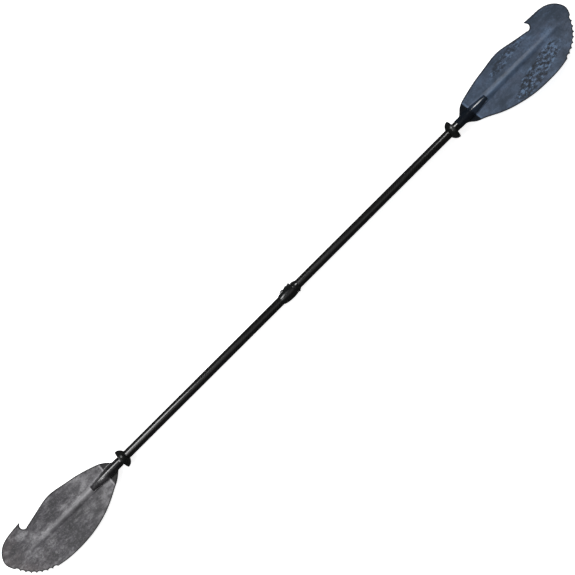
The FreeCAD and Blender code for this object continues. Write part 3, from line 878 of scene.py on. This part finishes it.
def blade_finish(name, tones, side, patches):
    """Marbled glass-filled nylon with painted shade along the rim, painted highlights on the crease
    and the spine's crown, and a glossy root painted near black for its shade.
    """
    f = Finish(name)
    tone, root = tones["middle"], tones["root"]
    cloud = f.noise(24.0, 5.0, stretch=(0.7, 1, 1), roughness=0.6)
    body = marbled(f, tones, side, patches, cloud)
    # Painted highlight: a pale strip along the lit flank just outside the web's crease.
    body = f.blend(f.math("MULTIPLY", f.level("painted_fold_highlight"), 0.8), body, scaled(root, 2.0))
    # Painted shade: the colour darkens within a few millimetres of the outline, for the dark edge
    # of the rounded rim.
    rim = f.math("MULTIPLY", f.lows(f.level("rim_gap"), 0.26, 0.5, 1), 0.9)
    body = f.blend(rim, body, scaled(tone, 0.08))
    polish_and_shade = f.level("polish_and_painted_shade")
    # Painted shade: the web and the socket are coloured near black for the shade and dark
    # reflections they show; their real gloss comes from the roughness below.
    colour = f.blend(f.math("MULTIPLY", polish_and_shade, tones["black"]), body, scaled(tone, 0.05))
    shine = f.math("MINIMUM", f.math("MULTIPLY", polish_and_shade, 2.0), 1.0)
    scuffs = f.noise(90.0, 6.0, stretch=(0.4, 1, 1), roughness=0.7)
    gloss = f.math("ADD", f.spread(scuffs, 0.42, 0.56), f.math("MULTIPLY", shine, -0.35))
    grain_left = f.math("SUBTRACT", 1.0, f.math("MULTIPLY", shine, 0.97))
    relief = f.bump(f.math("MULTIPLY", f.noise(1500.0, 3.0), grain_left), 0.4, 0.0002)
    waves = f.math("MULTIPLY", cloud, f.math("SUBTRACT", 1.0, shine))
    relief = f.bump(waves, 0.4, 0.0016, relief)
    return f.shade(Base_Color=colour, Roughness=gloss, Normal=relief)


TOW_WIDTH = 2.1 * MM
TOWS_AROUND = 42


def carbon_finish(name):
    """Two-by-two twill carbon under clear resin, wrapped round the tube."""
    f = Finish(name)
    split = f.add("SeparateXYZ", {"Vector": f.place()})
    round_it = f.math("ARCTAN2", split.outputs["Z"], split.outputs["Y"])
    around = f.math("MULTIPLY", round_it, TOWS_AROUND / FULL_TURN)
    along = f.math("DIVIDE", split.outputs["X"], TOW_WIDTH)
    step = f.math("ADD", f.math("FLOOR", around), f.math("FLOOR", along))
    over = f.math("LESS_THAN", f.math("FLOORED_MODULO", step, 4.0), 1.5)
    across_warp = f.math("ABSOLUTE", f.math("SUBTRACT", f.math("FRACT", around), 0.5))
    across_weft = f.math("ABSOLUTE", f.math("SUBTRACT", f.math("FRACT", along), 0.5))
    warp_part = f.math("MULTIPLY", over, across_warp)
    weft_part = f.math("MULTIPLY", f.math("SUBTRACT", 1.0, over), across_weft)
    crown = f.math("SUBTRACT", 1.0, f.math("ADD", warp_part, weft_part))
    strands = f.noise(1800.0, 2.0, stretch=(0.15, 1, 1))
    weave = f.blend(over, (0.0016, 0.0017, 0.0017), (0.0085, 0.0088, 0.0085))
    weave = f.blend(f.spread(strands, 0.0, 0.5), weave, grey(0.002))
    haze = f.noise(30.0, 4.0, stretch=(0.3, 1, 1))
    resin = f.noise(170.0, 3.0, roughness=0.7)
    weave = f.blend(f.highs(resin, 0.5, 0.68, 0.8), weave, (0.011, 0.0115, 0.0108))
    weave = f.blend(f.lows(resin, 0.34, 0.48, 0.8), weave, grey(0.0015))
    gloss = f.add("Mix", {0: over, 2: 0.27, 3: 0.34}).outputs[0]
    gloss = f.math("ADD", gloss, f.spread(haze, -0.05, 0.07))
    relief = f.bump(crown, 0.25, 0.0003)
    f.shader.inputs["Specular IOR Level"].default_value = 0.25
    f.shader.inputs["Coat Weight"].default_value = 0.75
    f.shader.inputs["Coat Roughness"].default_value = 0.14
    return f.shade(Base_Color=weave, Roughness=gloss, Normal=relief)


def moulding_finish(name, tone, rough, grain=2400.0, depth=0.3):
    """Black moulded nylon with a fine spark-eroded grain and softly worn tones."""
    f = Finish(name)
    cloud = f.noise(120.0, 4.0)
    base = f.ramp(cloud, [(0.3, scaled(tone, 0.8)), (0.6, tone), (0.8, scaled(tone, 1.25))])
    wear = f.noise(700.0, 3.0)
    base = f.blend(f.spread(wear, 0.0, 0.3), base, scaled(tone, 1.5))
    gloss = f.spread(f.noise(260.0, 4.0), rough - 0.07, rough + 0.07)
    relief = f.bump(f.noise(grain, 2.0), depth, 0.00012)
    return f.shade(Base_Color=base, Roughness=gloss, Normal=relief)


def rubber_finish(name, tone):
    """Soft black rubber with a dusty bloom and faint moulding swirls."""
    f = Finish(name)
    bloom = f.noise(160.0, 5.0, roughness=0.65)
    base = f.ramp(bloom, [(0.35, tone), (0.75, scaled(tone, 1.9))])
    gloss = f.spread(f.noise(90.0, 3.0), 0.2, 0.34)
    relief = f.bump(f.noise(1300.0, 3.0), 0.22, 0.00015)
    return f.shade(Base_Color=base, Roughness=gloss, Normal=relief)


def steel_finish(name):
    """Stainless steel, brushed round the pin."""
    f = Finish(name)
    lines = f.noise(900.0, 3.0, stretch=(3, 3, 0.2))
    base = f.ramp(lines, [(0.3, (0.42, 0.42, 0.43)), (0.7, (0.62, 0.62, 0.63))])
    gloss = f.spread(lines, 0.22, 0.38)
    f.shader.inputs["Metallic"].default_value = 1.0
    return f.shade(Base_Color=base, Roughness=gloss, Normal=f.bump(lines, 0.12, 0.0001))


def acetal_finish(name):
    """Natural acetal: milky, with a waxy sheen and faint machining marks."""
    f = Finish(name)
    milk = f.noise(200.0, 3.0)
    base = f.ramp(milk, [(0.3, (0.56, 0.55, 0.51)), (0.7, (0.68, 0.67, 0.63))])
    marks = f.noise(1200.0, 2.0, stretch=(4, 0.4, 0.4))
    return f.shade(Base_Color=base, Roughness=f.spread(marks, 0.34, 0.46),
                   Normal=f.bump(marks, 0.15, 0.0001))


def foam_finish(name):
    """Pale closed-cell foam with small open cells on its cut faces."""
    f = Finish(name)
    cells = f.add("TexVoronoi", {"Vector": f.place(), "Scale": 900.0}).outputs["Distance"]
    base = f.ramp(cells, [(0.1, (0.52, 0.51, 0.47)), (0.6, (0.78, 0.77, 0.72))])
    return f.shade(Base_Color=base, Roughness=f.spread(cells, 0.8, 0.92),
                   Normal=f.bump(cells, 0.6, 0.0004))


TICK_GAP = 5.0 * MM
TICK_WHITE = (0.62, 0.62, 0.6)


def ferrule_finish(name):
    """Dark glass-fibre tube with white length ticks, each fourth one longer."""
    f = Finish(name)
    split = f.add("SeparateXYZ", {"Vector": f.place()})
    wrap = f.noise(900.0, 3.0, stretch=(1, 0.2, 0.2))
    base = f.ramp(wrap, [(0.3, (0.028, 0.03, 0.032)), (0.7, (0.055, 0.058, 0.062))])
    along = f.math("DIVIDE", split.outputs["X"], TICK_GAP)
    beside = f.math("ABSOLUTE", f.math("SUBTRACT", f.math("FRACT", along), 0.5))
    tick = f.math("GREATER_THAN", beside, 0.44)
    long_tick = f.math("LESS_THAN", f.math("FLOORED_MODULO", f.math("ROUND", along), 4.0), 0.5)
    reach = f.add("Mix", {0: long_tick, 2: 1.6 * MM, 3: 3.4 * MM}).outputs[0]
    narrow = f.math("LESS_THAN", f.math("ABSOLUTE", split.outputs["Y"]), reach)
    upper = f.math("GREATER_THAN", split.outputs["Z"], 0.0)
    paint = f.math("MULTIPLY", f.math("MULTIPLY", tick, narrow), upper)
    colour = f.blend(paint, base, TICK_WHITE)
    f.shader.inputs["Coat Weight"].default_value = 0.5
    f.shader.inputs["Coat Roughness"].default_value = 0.12
    return f.shade(Base_Color=colour, Roughness=f.spread(wrap, 0.28, 0.4),
                   Normal=f.bump(wrap, 0.1, 0.0001))


# The black share sets how far the glossy web and socket are painted near black as shade.
SLATE = {"middle": (0.056, 0.090, 0.146), "root": (0.064, 0.101, 0.163),
         "tip": (0.060, 0.083, 0.125), "tint": (0.078, 0.082, 0.120),
         "mark_scale": 110.0, "black": 0.97}
GREY = {"middle": (0.058, 0.056, 0.064), "root": (0.222, 0.219, 0.228),
        "tip": (0.125, 0.105, 0.105), "tint": (0.075, 0.068, 0.082),
        "mark_scale": 150.0, "black": 0.93}

# Marbled panels: middle, half sizes, turn in degrees, strength.
SLATE_PANELS = [((1.010, -0.055), (0.120, 0.030), 12, 1.0),
                ((0.965, 0.044), (0.095, 0.016), 8, 0.75)]
GREY_PANELS = [((1.030, -0.055), (0.125, 0.040), 8, 0.5),
               ((0.990, 0.048), (0.085, 0.028), 10, 0.45)]


def finish_all():
    """One finish for each of the record's slots, given to new pieces and to CAD nodes."""
    finishes = {
        "blade_slate": blade_finish("slate nylon", SLATE, 1, SLATE_PANELS),
        "blade_grey": blade_finish("grey nylon", GREY, -1, GREY_PANELS),
        "carbon_tube": carbon_finish("carbon twill"),
        "foam": foam_finish("closed-cell foam"),
        "collar_nylon": moulding_finish("black collar nylon", (0.006, 0.0066, 0.0066), 0.2),
        "lever_nylon": moulding_finish("black lever nylon", (0.007, 0.0076, 0.0077), 0.26,
                                       grain=2000.0, depth=0.24),
        "pin_steel": steel_finish("stainless steel"),
        "shoe_acetal": acetal_finish("natural acetal"),
        "pad_rubber": rubber_finish("pad rubber", (0.012, 0.012, 0.012)),
        "ferrule_glassfibre": ferrule_finish("glass-fibre ferrule"),
        "drip_rubber": rubber_finish("drip ring rubber", (0.004, 0.0047, 0.0045)),
    }
    slots = {part["node"]: part["material_slot"] for part in frame["record"]["subparts"]}
    for node, thing in nodes.items():
        thing.data.materials.clear()
        thing.data.materials.append(finishes[slots[node]])
    return finishes


# ---- build ----

pieces = {
    "right_blade": moulded_blade("right"),
    "left_blade": moulded_blade("left"),
}
left_low, left_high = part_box("left_shaft_tube")
right_low, right_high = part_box("right_shaft_tube")
pieces["left_tube"] = shaft_tube("left_carbon_tube", left_low.x, left_high.x,
                                 "left_half", "left_shaft_tube")
pieces["right_tube"] = shaft_tube("right_carbon_tube", right_low.x, right_high.x,
                                  "right_half", "right_shaft_tube")
right_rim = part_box("right_drip_ring")[1].x
left_rim = -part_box("left_drip_ring")[0].x
pieces["right_ring"] = drip_ring("right_ring_cup", right_rim, 1, "right_ring", "right_drip_ring")
pieces["left_ring"] = drip_ring("left_ring_cup", left_rim, -1, "left_ring", "left_drip_ring")
pieces["collar"] = clamp_collar()
pieces["lever"] = cam_lever()
pieces["pin"] = pivot_pin()
pieces["nose"] = nose_ring()

finishes = finish_all()
wears = {
    "right_blade": "blade_slate", "left_blade": "blade_grey",
    "left_tube": "carbon_tube", "right_tube": "carbon_tube",
    "right_ring": "drip_rubber", "left_ring": "drip_rubber",
    "collar": "collar_nylon", "lever": "lever_nylon",
    "pin": "pin_steel", "nose": "collar_nylon",
}
for key, slot_name in wears.items():
    pieces[key].data.materials.clear()
    pieces[key].data.materials.append(finishes[slot_name])


# ---- floor, light and camera ----

FLOOR_SIZE = 14
FLOOR_GAP = 0.2 * MM
FLOOR_GLOW = 0.84
DIM_SURROUND = 0.05
PALE_WALL = (0.93, 0.93, 0.93)


def floor():
    """A plain pale light table that the paddle lies on; gloss doesn't mirror it."""
    clear_selection()
    low = min(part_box(name)[0].z for name in nodes)
    bpy.ops.mesh.primitive_plane_add(size=FLOOR_SIZE, location=(0, 0, low - FLOOR_GAP))
    ground = name_piece(bpy.context.active_object, "floor")
    f = Finish("pale floor")
    tone = f.ramp(f.noise(3.0, 4.0), [(0.3, (0.87, 0.87, 0.87)), (0.7, (0.9, 0.9, 0.9))])
    pale = f.shade(Base_Color=tone, Roughness=0.9, Emission_Color=(1, 1, 1, 1),
                   Emission_Strength=FLOOR_GLOW)
    ground.data.materials.append(pale)
    ground.visible_glossy = False


def softbox(name, place, size, radiance, aim=(0, 0, 0)):
    """A rectangular soft light of a given brightness, turned towards a point."""
    lamp = bpy.data.lights.new(name, "AREA")
    lamp.shape = "RECTANGLE"
    lamp.size, lamp.size_y = size
    lamp.energy = radiance * math.pi * size[0] * size[1]
    holder = bpy.data.objects.new(name, lamp)
    bpy.context.scene.collection.objects.link(holder)
    holder.location = place
    holder.rotation_euler = (Vector(aim) - Vector(place)).to_track_quat("-Z", "Y").to_euler()


def studio():
    """A dim ceiling, a softbox on the hook side of each end, and small lights that show
    as glints on the sockets, the rings and the joint."""
    world = bpy.data.worlds.new("studio")
    bpy.context.scene.world = world
    world.use_nodes = True
    sky = world.node_tree
    sky.nodes["Background"].inputs["Strength"].default_value = DIM_SURROUND
    wall = sky.nodes.new("ShaderNodeBackground")
    wall.inputs["Color"].default_value = (*PALE_WALL, 1)
    seen = sky.nodes.new("ShaderNodeLightPath")
    choice = sky.nodes.new("ShaderNodeMixShader")
    sky.nodes["Background"].inputs["Color"].default_value = (1, 1, 1, 1)
    sky.links.new(seen.outputs["Is Camera Ray"], choice.inputs[0])
    sky.links.new(sky.nodes["Background"].outputs[0], choice.inputs[1])
    sky.links.new(wall.outputs[0], choice.inputs[2])
    sky.links.new(choice.outputs[0], sky.nodes["World Output"].inputs["Surface"])
    softbox("ceiling", (-1.3, 0, 4.5), (3.6, 6.0), 0.45)
    softbox("hook side strip", (-0.3, 2.0, 2.6), (0.6, 0.8), 1.4)
    softbox("left top", (-1.75, 0.35, 2.6), (0.9, 0.8), 2.0)
    softbox("left spark", (-1.83, 0, 2.35), (0.2, 0.2), 30.0)
    softbox("right spark", (2.0, 1.7, 2.25), (0.16, 0.3), 40.0, aim=(0.8, 0, 0))
    softbox("left key", (-1.6, 1.8, 2.35), (1.5, 1.25), 11.2, aim=(-1.0, 0, 0))
    softbox("right key", (2.3, 1.8, 2.35), (0.9, 1.25), 14.0, aim=(1.0, 0, 0))


LENS_MM, SENSOR_MM = 73.9, 36.0
CAMERA_PLACE = (0.0004, 0.0151, 3.6)
CAMERA_TURN_DEG = -44.89


def camera():
    """Straight above on a long lens, turned so that the shaft runs up to the right."""
    lens = bpy.data.cameras.new("camera")
    lens.lens = LENS_MM
    lens.sensor_width = SENSOR_MM
    lens.clip_end = 50.0
    holder = bpy.data.objects.new("camera", lens)
    bpy.context.scene.collection.objects.link(holder)
    holder.location = CAMERA_PLACE
    holder.rotation_euler = (0, 0, math.radians(CAMERA_TURN_DEG))
    bpy.context.scene.camera = holder


floor()
studio()
camera()
bpy.context.scene.view_settings.view_transform = "Standard"

clear_selection()
